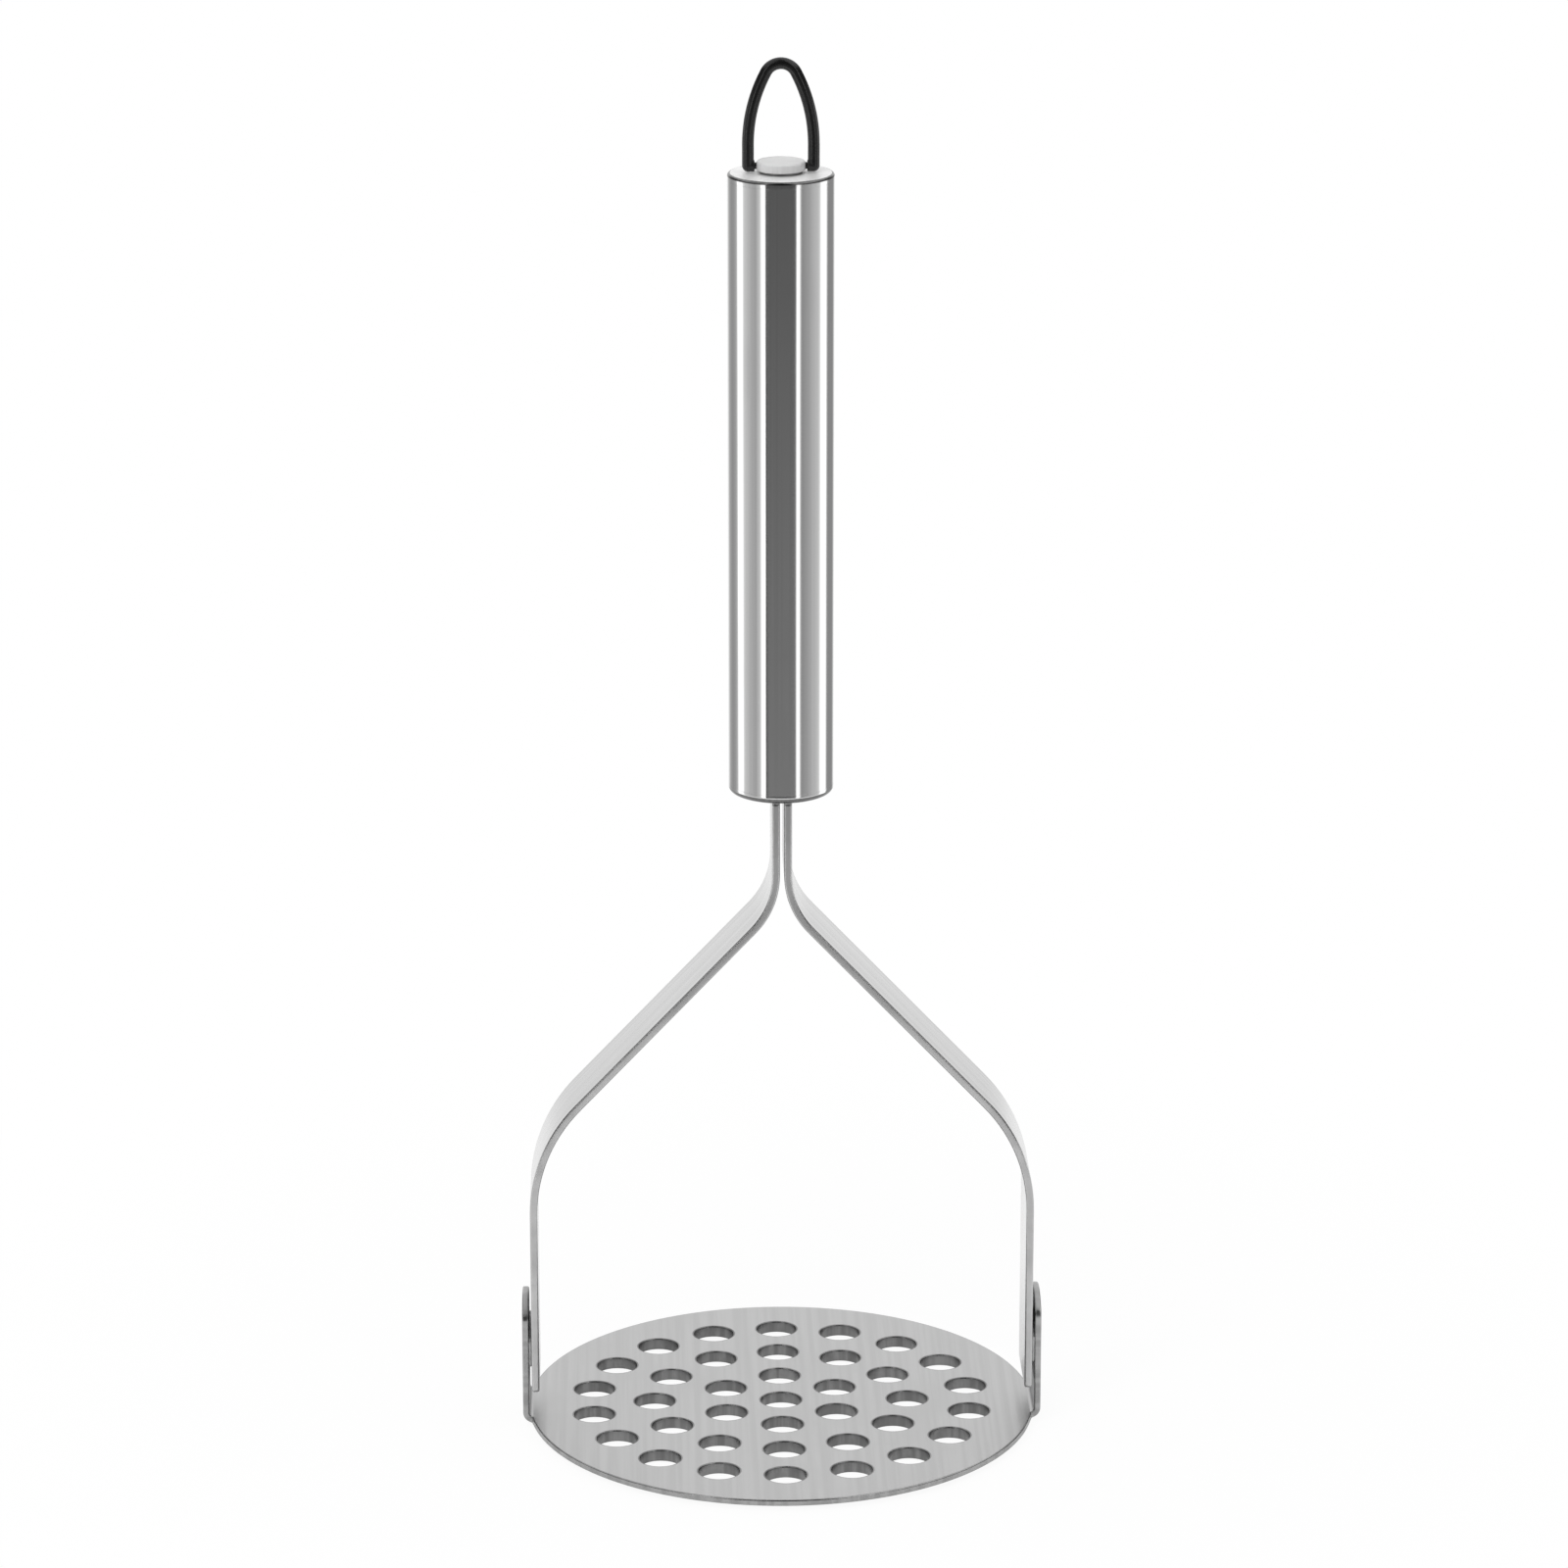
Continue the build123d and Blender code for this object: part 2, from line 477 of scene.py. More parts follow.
@dataclass
class NodeTree:
    """A thin hand on a node tree, which keeps its calls short."""

    tree: bpy.types.NodeTree

    def add(self, kind: str, **settings: object) -> bpy.types.Node:
        """Add a node.

        Args:
            kind: The node's type without its leading words.
            settings: The values of its own properties.

        Returns:
            The new node.
        """
        node = self.tree.nodes.new("ShaderNode" + kind)
        for key, value in settings.items():
            setattr(node, key, value)
        return node

    def link(self, source: bpy.types.NodeSocket, target: bpy.types.NodeSocket) -> None:
        """Join an output to an input."""
        self.tree.links.new(source, target)

    def math(self, operation: str, first: object, second: object = 0.0) -> bpy.types.NodeSocket:
        """Add a sum.

        Args:
            operation: What it does.
            first: A socket or a number.
            second: A socket or a number.

        Returns:
            The result.
        """
        node = self.add("Math", operation=operation)
        for socket, value in zip(node.inputs, (first, second)):
            if isinstance(value, float):
                socket.default_value = value
            else:
                self.link(value, socket)
        return node.outputs[0]

    def ramp(
        self, source: bpy.types.NodeSocket, low: float, high: float, least: float, most: float
    ) -> bpy.types.NodeSocket:
        """Spread a value smoothly from one range to another.

        Args:
            source: The value.
            low: Where the first range starts.
            high: Where it ends.
            least: What comes out at its start.
            most: What comes out at its end.

        Returns:
            The new value.
        """
        node = self.add("MapRange", interpolation_type="SMOOTHSTEP")
        self.link(source, node.inputs["Value"])
        for name, value in zip(("From Min", "From Max", "To Min", "To Max"), (low, high, least, most)):
            node.inputs[name].default_value = value
        return node.outputs["Result"]

    def mix(self, share: bpy.types.NodeSocket, plain: object, other: object) -> bpy.types.NodeSocket:
        """Mix two colours by a share.

        Args:
            share: How much of the second colour there is.
            plain: The first colour, as a socket, or as the brightness of a grey.
            other: The second colour, in the same way.

        Returns:
            The mixed colour.
        """
        node = self.add("Mix", data_type="RGBA")
        self.link(share, node.inputs["Factor"])
        for place, value in zip(MIX_INPUTS, (plain, other)):
            if isinstance(value, float):
                node.inputs[place].default_value = (value, value, value, 1.0)
            else:
                self.link(value, node.inputs[place])
        return node.outputs[MIX_RESULT]

    def noise(
        self, place: bpy.types.NodeSocket, detail: float, scale: object = 1.0, dimensions: str = "3D"
    ) -> bpy.types.NodeSocket:
        """Add a noise.

        Args:
            place: Where it is looked up.
            detail: How many finer noises lie over it.
            scale: How many of its waves fit into one unit, as a socket or a number.
            dimensions: Whether it varies in a plane or in space.

        Returns:
            Its value, around a half.
        """
        node = self.add("TexNoise", noise_dimensions=dimensions)
        node.inputs["Detail"].default_value = detail
        self.link(place, node.inputs["Vector"])
        if isinstance(scale, float):
            node.inputs["Scale"].default_value = scale
        else:
            self.link(scale, node.inputs["Scale"])
        return node.outputs["Fac"]

    def group(self, tree: bpy.types.NodeTree, sizes: dict[str, float]) -> bpy.types.Node:
        """Add a node group with its sizes set, and return its node."""
        node = self.add("Group", node_tree=tree)
        for name, value in sizes.items():
            node.inputs[name].default_value = value
        return node

    def choose(
        self, share: bpy.types.NodeSocket, first: bpy.types.Node, second: bpy.types.Node, end: str
    ) -> None:
        """Mix two shaders by a share of the second, and lead them to the output.

        Args:
            share: The share.
            first: The first shader.
            second: The second shader.
            end: The type of the output node.
        """
        node = self.add("MixShader")
        for place, socket in enumerate((share, first.outputs[0], second.outputs[0])):
            self.link(socket, node.inputs[place])
        self.link(node.outputs[0], self.add(end).inputs["Surface"])

    def bump(self, height: bpy.types.NodeSocket, depth: float) -> bpy.types.Node:
        """Add a bump of a given depth in metres, and return its node."""
        node = self.add("Bump")
        node.inputs["Distance"].default_value = depth
        self.link(height, node.inputs["Height"])
        return node


@dataclass
class Effects:
    """The node groups that more than one finish uses.

    Attributes:
        line_detail: The detail of the brushed lines.
        band_noise: The detail and scale of the bands of lines that stand out together.
        mark_noise: The detail of the handling marks, and the values between which a mark grows.
        swell_noise: The same for the slow swell of the surface.
        wear_detail: The detail of the wear on the edges.
        wear_patch: The size of a patch of it.
        wear_noise: The values between which a patch grows.
        least_wear: How much wear there is between the patches.
    """

    line_detail: float = 3.0
    band_noise: Span = (2.0, 0.12)
    mark_noise: tuple[float, float, float] = (4.0, 0.45, 0.7)
    swell_noise: tuple[float, float, float] = (0.0, 0.2, 0.8)
    wear_detail: float = 3.0
    wear_patch: float = 3 * MM
    wear_noise: Span = (0.3, 0.6)
    least_wear: float = 0.35

    def __post_init__(self) -> None:
        """Build each group once."""
        self.grain = self._grain()
        self.smudges = self._smudges()
        self.edge_wear = self._edge_wear()

    @staticmethod
    def _group(
        name: str, numbers: dict[str, float], outputs: Sequence[str]
    ) -> tuple[NodeTree, dict[str, bpy.types.Node]]:
        """Start a node group.

        Args:
            name: The group's name.
            numbers: Its number inputs, with their usual values.
            outputs: The names of its outputs.

        Returns:
            The tree, and its input and output nodes by name.
        """
        tree = bpy.data.node_groups.new(name, "ShaderNodeTree")
        for key, value in numbers.items():
            socket = tree.interface.new_socket(name=key, in_out="INPUT", socket_type="NodeSocketFloat")
            socket.default_value = value
        for key in outputs:
            tree.interface.new_socket(name=key, in_out="OUTPUT", socket_type="NodeSocketFloat")
        ends = {"in": tree.nodes.new("NodeGroupInput"), "out": tree.nodes.new("NodeGroupOutput")}
        return NodeTree(tree), ends

    def _grain(self) -> bpy.types.NodeTree:
        """Build the fine lines of brushing, which run along the second direction of the grain layer."""
        sizes = {"X": "Line Width", "Y": "Line Length"}
        sheet, ends = self._group("brushed_grain", dict.fromkeys(sizes.values(), MM), ("Lines", "Bands"))
        layout = sheet.add("UVMap", uv_map=GRAIN_LAYER)
        split = sheet.add("SeparateXYZ")
        sheet.link(layout.outputs["UV"], split.inputs["Vector"])
        joined = sheet.add("CombineXYZ")
        for axis, size in sizes.items():
            ratio = sheet.math("DIVIDE", split.outputs[axis], ends["in"].outputs[size])
            sheet.link(ratio, joined.inputs[axis])
        for name, detail, scale in (("Lines", self.line_detail, 1.0), ("Bands", *self.band_noise)):
            noise = sheet.noise(joined.outputs["Vector"], detail, scale, "2D")
            sheet.link(noise, ends["out"].inputs[name])
        return sheet.tree

    def _smudges(self) -> bpy.types.NodeTree:
        """Build the broad faint marks that handling leaves."""
        sheet, ends = self._group("handling_marks", {"Size": MM}, ("Marks", "Swell"))
        place = sheet.add("TexCoord").outputs["Object"]
        scale = sheet.math("DIVIDE", 1.0, ends["in"].outputs["Size"])
        for name, (detail, low, high) in (("Marks", self.mark_noise), ("Swell", self.swell_noise)):
            noise = sheet.noise(place, detail, scale)
            sheet.link(sheet.ramp(noise, low, high, 0.0, 1.0), ends["out"].inputs[name])
        return sheet.tree

    def _edge_wear(self) -> bpy.types.NodeTree:
        """Build the smoother line that use leaves on an edge, broken up along its way."""
        sheet, ends = self._group("edge_wear", {}, ("Wear",))
        edge = sheet.add("Attribute", attribute_name=EDGE_LAYER)
        place = sheet.add("TexCoord").outputs["Object"]
        noise = sheet.noise(place, self.wear_detail, 1 / self.wear_patch)
        broken = sheet.ramp(noise, *self.wear_noise, self.least_wear, 1.0)
        sheet.link(sheet.math("MULTIPLY", edge.outputs["Fac"], broken), ends["out"].inputs["Wear"])
        return sheet.tree


def new_finish(name: str) -> tuple[bpy.types.Material, NodeTree, bpy.types.Node]:
    """Return a new material with its node tree and its shader."""
    material = bpy.data.materials.new(name)
    material.use_nodes = True
    return material, NodeTree(material.node_tree), material.node_tree.nodes["Principled BSDF"]


@dataclass(frozen=True)
class SteelFinish:
    """One way that the stainless steel is finished.

    Attributes:
        name: The material's name.
        tint: How bright the grey of clean metal is.
        marked: How bright metal with marks on it is.
        roughness: The least and the most roughness that the grain gives.
        edge_roughness: How much an edge that is worn smooth loses of its roughness.
        line_width: The width of the brushed lines.
        line_length: The length of the brushed lines.
        line_depth: How deep they are.
        swell_depth: How much the sheet swells and sinks over a mark's size.
        mark_size: The size of the marks.
        metallic: How metallic the surface looks, which is less where it is blasted or scuffed.
        streak_span: The values of the bands of lines between which a streak grows.
        grain_span: The values of lines and bands together that the roughness is spread over.
    """

    name: str
    tint: float
    marked: float
    roughness: Span
    edge_roughness: float
    line_width: float
    line_length: float
    line_depth: float
    swell_depth: float
    mark_size: float
    metallic: float = 1.0
    streak_span: Span = (0.35, 0.65)
    grain_span: Span = (0.6, 1.4)

    def make(self, effects: Effects) -> bpy.types.Material:
        """Build the material with the shared effects and return it."""
        material, sheet, shader = new_finish(self.name)
        shader.inputs["Metallic"].default_value = self.metallic
        grain = sheet.group(effects.grain, {"Line Width": self.line_width, "Line Length": self.line_length})
        smudges = sheet.group(effects.smudges, {"Size": self.mark_size})
        wear = sheet.group(effects.edge_wear, {})
        streaks = sheet.ramp(grain.outputs["Bands"], *self.streak_span, 0.0, 1.0)
        marks = sheet.math("MAXIMUM", streaks, smudges.outputs["Marks"])
        sheet.link(sheet.mix(marks, self.tint, self.marked), shader.inputs["Base Color"])
        both = sheet.math("ADD", grain.outputs["Lines"], grain.outputs["Bands"])
        rough = sheet.ramp(both, *self.grain_span, *self.roughness)
        kept = sheet.ramp(wear.outputs["Wear"], 0.0, 1.0, 1.0, 1.0 - self.edge_roughness)
        sheet.link(sheet.math("MULTIPLY", rough, kept), shader.inputs["Roughness"])
        swell = sheet.bump(smudges.outputs["Swell"], self.swell_depth)
        lines = sheet.bump(grain.outputs["Lines"], self.line_depth)
        sheet.link(swell.outputs["Normal"], lines.inputs["Normal"])
        sheet.link(lines.outputs["Normal"], shader.inputs["Normal"])
        return material


@dataclass(frozen=True)
class MouldingFinish:
    """A moulded plastic.

    Attributes:
        name: The material's name.
        tint: How bright its grey is.
        rubbed: How bright it is where it is rubbed.
        roughness: The least and the most roughness.
        pebble_size: The size of the fine texture of the mould.
        pebble_depth: How deep that texture is.
        pebble_detail: The detail of that texture.
        mark_size: The size of the handling marks.
        refraction: The index of refraction.
    """

    name: str
    tint: float
    rubbed: float
    roughness: Span
    pebble_size: float
    pebble_depth: float
    pebble_detail: float = 2.0
    mark_size: float = 4 * MM
    refraction: float = 1.5

    def make(self, effects: Effects) -> bpy.types.Material:
        """Build the material with the shared effects and return it."""
        material, sheet, shader = new_finish(self.name)
        shader.inputs["IOR"].default_value = self.refraction
        smudges = sheet.group(effects.smudges, {"Size": self.mark_size})
        wear = sheet.group(effects.edge_wear, {})
        sheet.link(sheet.mix(wear.outputs["Wear"], self.tint, self.rubbed), shader.inputs["Base Color"])
        rough = sheet.ramp(smudges.outputs["Marks"], 0.0, 1.0, *self.roughness)
        sheet.link(rough, shader.inputs["Roughness"])
        place = sheet.add("TexCoord").outputs["Object"]
        pebbles = sheet.noise(place, self.pebble_detail, 1 / self.pebble_size)
        bump = sheet.bump(pebbles, self.pebble_depth)
        sheet.link(bump.outputs["Normal"], shader.inputs["Normal"])
        return material


@dataclass
class Finishes:
    """Every finish of the masher, by what it is on."""

    effects: Effects
    plate: bpy.types.Material = field(init=False)
    plate_edge: bpy.types.Material = field(init=False)
    hole_wall_painted_shade: bpy.types.Material = field(init=False)
    strip: bpy.types.Material = field(init=False)
    strip_edge: bpy.types.Material = field(init=False)
    weld: bpy.types.Material = field(init=False)
    handle: bpy.types.Material = field(init=False)
    cap_face: bpy.types.Material = field(init=False)
    # painted shade: a dark finish that stands in for shade and dark reflections
    painted_shade_steel: bpy.types.Material = field(init=False)
    boss: bpy.types.Material = field(init=False)
    loop: bpy.types.Material = field(init=False)
    plug: bpy.types.Material = field(init=False)

    def __post_init__(self) -> None:
        """Make the materials."""
        steels = {
            "plate": SteelFinish(
                name="satin_sheet", tint=0.53, marked=0.505, roughness=(0.32, 0.39), edge_roughness=0.4,
                line_width=0.15 * MM, line_length=14 * MM, line_depth=0.004 * MM, swell_depth=0.02 * MM,
                mark_size=18 * MM,
            ),
            "plate_edge": SteelFinish(
                name="punched_edge", tint=0.42, marked=0.35, roughness=(0.28, 0.4), edge_roughness=0.4,
                line_width=0.2 * MM, line_length=1.5 * MM, line_depth=0.006 * MM, swell_depth=0.02 * MM,
                mark_size=6 * MM,
            ),
            # Dark tint on the walls of the holes and their collars: painted shade and painted dark
            # reflection
            "hole_wall_painted_shade": SteelFinish(
                name="hole_wall_shade_finish", tint=0.29, marked=0.21, roughness=(0.28, 0.4), edge_roughness=0.2,
                line_width=0.2 * MM, line_length=1.5 * MM, line_depth=0.006 * MM, swell_depth=0.02 * MM,
                mark_size=6 * MM,
            ),
            "strip": SteelFinish(
                name="drawn_strip", tint=0.66, marked=0.61, roughness=(0.13, 0.2), edge_roughness=0.2,
                line_width=0.12 * MM, line_length=20 * MM, line_depth=0.001 * MM, swell_depth=0.02 * MM,
                mark_size=22 * MM,
            ),
            "strip_edge": SteelFinish(
                name="sheared_edge", tint=0.57, marked=0.49, roughness=(0.3, 0.42), edge_roughness=0.3,
                line_width=0.15 * MM, line_length=3 * MM, line_depth=0.004 * MM, swell_depth=0.02 * MM,
                mark_size=8 * MM,
            ),
            "weld": SteelFinish(
                name="weld_metal", tint=0.66, marked=0.5, roughness=(0.4, 0.6), edge_roughness=0.2,
                line_width=0.6 * MM, line_length=0.8 * MM, line_depth=0.08 * MM, swell_depth=0.15 * MM,
                mark_size=1.5 * MM,
            ),
            "handle": SteelFinish(
                name="polished_tube", tint=0.7, marked=0.66, roughness=(0.07, 0.12), edge_roughness=0.2,
                line_width=0.1 * MM, line_length=30 * MM, line_depth=0.0004 * MM, swell_depth=0.01 * MM,
                mark_size=25 * MM,
            ),
            "cap_face": SteelFinish(
                name="scuffed_cap_face", tint=0.88, marked=0.82, roughness=(0.4, 0.5), edge_roughness=0.2,
                line_width=0.1 * MM, line_length=3 * MM, line_depth=0.001 * MM, swell_depth=0.01 * MM,
                mark_size=8 * MM, metallic=0.35,
            ),
            # Dark tint of painted shade and painted dark reflection, used on the top cap's shoulder, the
            # bottom cap's lower rounding and the groove under the boss
            "painted_shade_steel": SteelFinish(
                name="painted_shade_finish", tint=0.2, marked=0.16, roughness=(0.16, 0.24), edge_roughness=0.2,
                line_width=0.1 * MM, line_length=3 * MM, line_depth=0.001 * MM, swell_depth=0.01 * MM,
                mark_size=8 * MM,
            ),
            "boss": SteelFinish(
                name="blasted_stud", tint=0.72, marked=0.67, roughness=(0.6, 0.7), edge_roughness=0.2,
                line_width=0.1 * MM, line_length=2 * MM, line_depth=0.002 * MM, swell_depth=0.01 * MM,
                mark_size=5 * MM, metallic=0.2,
            ),
        }
        for key, finish in steels.items():
            setattr(self, key, finish.make(self.effects))
        self.loop = MouldingFinish(
            name="black_moulding", tint=0.006, rubbed=0.02, roughness=(0.22, 0.34),
            pebble_size=0.25 * MM, pebble_depth=0.01 * MM,
        ).make(self.effects)
        self.plug = MouldingFinish(
            name="plug_moulding", tint=0.2, rubbed=0.24, roughness=(0.5, 0.6),
            pebble_size=0.4 * MM, pebble_depth=0.02 * MM,
        ).make(self.effects)


# Sub-assemblies


@dataclass
class MashingPlate:
    """The perforated plate, stamped with two tongues that are bent up into tabs."""

    finishes: Finishes
    finisher: Finisher
    radius: float = 47.0 * MM
    thickness: float = 1.2 * MM
    edge_round: float = 0.28 * MM
    hole_radius: float = 3.75 * MM
    hole_entry_round: float = 0.25 * MM
    hole_ring_pitch: float = 11.8 * MM
    hole_ring_count: int = 3
    holes_added_per_ring: int = 6
    collar_depth: float = 1.0 * MM
    collar_wall: float = 0.75 * MM
    collar_round: float = 0.15 * MM
    collar_root_round: float = 0.35 * MM
    tab_width: float = 14.5 * MM
    tab_crown_radius: float = 11.0 * MM
    tab_shoulder_round: float = 1.8 * MM
    tab_relief_round: float = 0.5 * MM
    tab_bend_radius: float = 0.8 * MM
    collar_flat: float = 0.1 * MM
    collar_steps: int = 4
    crown_steps: int = 14
    shoulder_steps: int = 8
    relief_steps: int = 7
    rim_steps: int = 90
    bend_steps: int = 9
    guard: float = 0.4 * MM

    def __post_init__(self) -> None:
        """Read the reach and the height of the tabs from the frame."""
        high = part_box("masher_plate")[1]
        self.bend_start = high.x - self.thickness - self.tab_bend_radius
        self.bend_length = (self.tab_bend_radius + self.thickness / 2) * QUARTER
        rise = high.z - self.collar_depth - self.thickness - self.tab_bend_radius
        self.tip = self.bend_start + self.bend_length + rise

    def holes(self) -> list[tuple[float, float]]:
        """Return the x and y of each hole: one in the middle, and rings that grow alike."""
        found = [(0.0, 0.0)]
        for ring in range(1, self.hole_ring_count + 1):
            count = self.holes_added_per_ring * ring
            radius = self.hole_ring_pitch * ring
            ring_points = arc(Vector((0, 0)), radius, QUARTER, QUARTER + math.tau, count)[:-1]
            found += [(point.x, point.y) for point in ring_points]
        return found

    def collar(self) -> Section:
        """Return the wall of a hole: up from the underside's edge, round the collar and out on top."""
        outer = self.hole_radius + self.collar_wall
        flat = self.collar_flat
        corners = [
            (outer + self.collar_root_round + flat, 0, 0),
            (outer, 0, self.collar_root_round),
            (outer, -self.collar_depth, self.collar_round),
            (self.hole_radius, -self.collar_depth, self.collar_round),
            (self.hole_radius, self.thickness, self.hole_entry_round),
            (self.hole_radius + self.hole_entry_round + flat, self.thickness, 0),
        ]
        return eased(corners, False, self.collar_steps)

    def quarter(self) -> list[Vector]:
        """Return the outline from the tip of the right tongue to the far end of the round."""
        half = self.tab_width / 2
        crown = Vector((self.tip - self.tab_crown_radius, 0))
        inner = self.tab_crown_radius - self.tab_shoulder_round
        lift = half - self.tab_shoulder_round
        shoulder = Vector((crown.x + math.sqrt(inner**2 - lift**2), lift))
        lean = math.atan2(lift, shoulder.x - crown.x)
        points = arc(crown, self.tab_crown_radius, 0, lean, self.crown_steps)
        points += arc(shoulder, self.tab_shoulder_round, lean, QUARTER, self.shoulder_steps)[1:]
        outer = self.radius + self.tab_relief_round
        rise = half + self.tab_relief_round
        relief = Vector((math.sqrt(outer**2 - rise**2), rise))
        bearing = math.atan2(relief.y, relief.x)
        points += arc(relief, self.tab_relief_round, -QUARTER, bearing - math.pi, self.relief_steps)
        points += arc(Vector((0, 0)), self.radius, bearing, QUARTER, self.rim_steps)[1:]
        return points

    def outline(self) -> list[Vector]:
        """Return the whole outline of the blank, turning left."""
        first = self.quarter()
        half = first + [Vector((-p.x, p.y)) for p in reversed(first[:-1])]
        return half + [Vector((p.x, -p.y)) for p in reversed(half[1:-1])]

    def bent(self, point: Vector) -> Vector:
        """Move a point of the flat blank to where bending takes it.

        Args:
            point: The place on the blank.

        Returns:
            The place on the plate.
        """
        past = abs(point.x) - self.bend_start
        if past <= 0:
            return point + Vector((0, 0, self.collar_depth))
        center = self.thickness + self.tab_bend_radius
        arm = center - point.z
        turn = QUARTER * min(past / self.bend_length, 1.0)
        x = self.bend_start + arm * math.sin(turn)
        z = center - arm * math.cos(turn) + max(past - self.bend_length, 0.0)
        return Vector((math.copysign(x, point.x), point.y, z + self.collar_depth))

    def build(self) -> bpy.types.Object:
        """Build the plate and return it."""
        bm = Blank(self.outline(), self.thickness, self.edge_round, self.holes(), self.collar()).build()
        shares = [step / self.bend_steps for step in range(self.bend_steps + 1)]
        places = [self.bend_start + self.bend_length * share for share in shares]
        places += [places[0] - self.guard, places[-1] + self.guard]
        cut_across(bm, [sign * place for place in places for sign in (1, -1)])
        move_points(bm, self.bent)
        # The hole walls get the dark finish of painted shade
        materials = (self.finishes.plate, self.finishes.plate_edge, self.finishes.hole_wall_painted_shade)
        return self.finisher.place(bm, "dressed_plate", materials, Body.MASHER, Slot.SATIN, "masher_plate")


@dataclass
class Frame:
    """The two legs, each bent from flat strip, and the welds that hold them to the tabs."""

    finishes: Finishes
    finisher: Finisher
    thickness: float = 1.4 * MM
    edge_round: float = 0.35 * MM
    corner_round: float = 0.7 * MM
    knee_height: float = 54.5 * MM
    neck_height: float = 101.5 * MM
    knee_bend_radius: float = 30.0 * MM
    neck_bend_radius: float = 15.0 * MM
    tang_width: float = 11.0 * MM
    pin_hole_radius: float = 1.53 * MM
    weld_crown: float = 0.2 * MM
    weld_corner_round: float = 1.1 * MM
    weld_corner_steps: int = 8
    weld_step: float = 0.4 * MM
    weld_ripple: float = 0.12 * MM
    weld_waves: tuple[int, int] = (13, 5)
    step_turn: float = math.radians(3)
    guard: float = 0.4 * MM

    def route(self) -> Route:
        """Return the middle line of the right leg, from its foot to the end of its tang."""
        low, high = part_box("right_leg")
        foot_x = high.x - self.thickness / 2
        tang_x = low.x + self.thickness / 2
        corners = [
            Vector((foot_x, low.z)), Vector((foot_x, self.knee_height)),
            Vector((tang_x, self.neck_height)), Vector((tang_x, high.z)),
        ]
        return Route.through(corners, [self.knee_bend_radius, self.neck_bend_radius])

    def leg(self, side: int) -> bpy.types.Object:
        """Build one leg.

        Args:
            side: 1 for the right leg and -1 for the left.

        Returns:
            The leg.
        """
        route = self.route()
        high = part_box("right_leg")[1]
        half, narrow, r = high.y, self.tang_width / 2, self.corner_round
        shoulder = route.length - (high.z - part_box("handle_bottom_cap")[0].z)
        corners = [
            (0, -half, r), (shoulder, -half, r), (shoulder, -narrow, r / 2), (route.length, -narrow, r),
            (route.length, narrow, r), (shoulder, narrow, r / 2), (shoulder, half, r), (0, half, r),
        ]
        outline = [Vector((x, y)) for x, y, _ in eased(corners, True)]
        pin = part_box("cross_pin")
        pin_place = route.length - (high.z - (pin[0].z + pin[1].z) / 2)
        pin_wall = [(self.pin_hole_radius, z, 0.0) for z in (0.0, self.thickness)]
        bm = Blank(outline, self.thickness, self.edge_round, [(pin_place, 0.0)], pin_wall).build()
        cut_across(bm, route.stations(self.step_turn, self.guard)[1:-1])

        def bent(point: Vector) -> Vector:
            here, left = route.at(point.x)
            here += left * (point.z - self.thickness / 2)
            return Vector((side * here.x, point.y, here.y))

        grain = bm.loops.layers.uv[GRAIN_LAYER]
        for face in bm.faces:
            for loop in face.loops:
                loop[grain].uv = loop.vert.co.yx
        move_points(bm, bent)
        name, node = ("dressed_right_leg", "right_leg") if side > 0 else ("dressed_left_leg", "left_leg")
        materials = (self.finishes.strip, self.finishes.strip_edge, self.finishes.strip_edge)
        return self.finisher.place(bm, name, materials, Body.MASHER, Slot.STRIP, node)

    def weld_outline(self, half_y: float, half_z: float) -> list[Vector]:
        """Draw a weld pad's outline, which is uneven as melted metal is.

        Args:
            half_y: Half the pad's width.
            half_z: Half its height.

        Returns:
            The points of the outline, about its middle.
        """
        corners = [(y * half_y, z * half_z, self.weld_corner_round) for y, z in CORNER_SIGNS]
        sketch = [Vector((x, y)) for x, y, _ in eased(corners, True, self.weld_corner_steps)]
        dense: list[Vector] = []
        for before, after in zip(sketch, sketch[1:] + sketch[:1]):
            steps = max(1, round((after - before).length / self.weld_step))
            dense += [before.lerp(after, step / steps) for step in range(steps)]
        outline = []
        many, few = self.weld_waves
        for index, point in enumerate(dense):
            angle = math.tau * index / len(dense)
            sink = self.weld_ripple * (1 + math.sin(many * angle) * math.cos(few * angle + 1)) / 2
            outline.append(point - point.normalized() * sink)
        return outline

    def welds(self) -> bpy.types.Object:
        """Build both weld pads and return them as one piece."""
        low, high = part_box("leg_welds")
        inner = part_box("right_leg")[1].x
        gap, middle = high.x - inner, (high.z + low.z) / 2
        outline = self.weld_outline(high.y + self.weld_crown, (high.z - low.z) / 2)
        whole = new_mesh()
        for side in (1, -1):
            bm = Blank(outline, gap, gap / 4).build()
            for face in bm.faces:
                face.material_index = 0
            move_points(bm, lambda p: Vector((side * (inner + p.z), p.x, middle + p.y)))
            part = bpy.data.meshes.new("weld_part")
            bm.to_mesh(part)
            bm.free()
            whole.from_mesh(part)
            bpy.data.meshes.remove(part)
        return self.finisher.place(
            whole, "dressed_welds", (self.finishes.weld,), Body.MASHER, Slot.STRIP, "leg_welds"
        )

    def build(self) -> None:
        """Build both legs and their welds."""
        for side in (1, -1):
            self.leg(side)
        self.welds()


